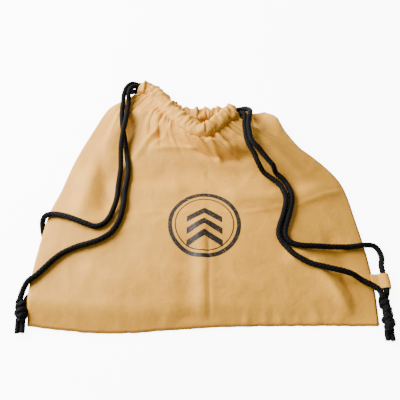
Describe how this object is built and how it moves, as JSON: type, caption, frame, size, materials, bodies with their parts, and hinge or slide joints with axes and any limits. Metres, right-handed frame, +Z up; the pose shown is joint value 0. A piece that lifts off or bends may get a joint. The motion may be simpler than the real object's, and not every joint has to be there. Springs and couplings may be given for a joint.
{
  "type": "drawstring helmet bag",
  "caption": "Flat cloth drawstring bag with a gathered mouth, black cords that cross the front and are knotted at the lower corners, and small cord loops.",
  "frame": {"origin": "middle of the bag's floor plan, at the floor, cords apart", "axes": "+X across the bag, +Y from the bottom seam to the mouth, +Z up from the floor to the front panel"},
  "size_m": [0.4655, 0.423, 0.0558],
  "materials": {
    "bag_cloth": "smooth tan woven nylon with a soft sheen",
    "casing_cloth": "the same nylon, gathered",
    "tab_ribbon": "the same nylon, folded into a loop",
    "cord": "matte black braid"
  },
  "bodies": {
    "root": {"front_panel": "bag_cloth", "back_panel": "bag_cloth", "front_casing": "casing_cloth", "back_casing": "casing_cloth", "left_tab": "tab_ribbon", "right_tab": "tab_ribbon", "left_drawcord": "cord", "right_drawcord": "cord", "left_cord_outer": "cord", "left_cord_inner": "cord", "right_cord_outer": "cord", "right_cord_inner": "cord", "left_knot": "cord", "right_knot": "cord"}
  },
  "joints": []
}
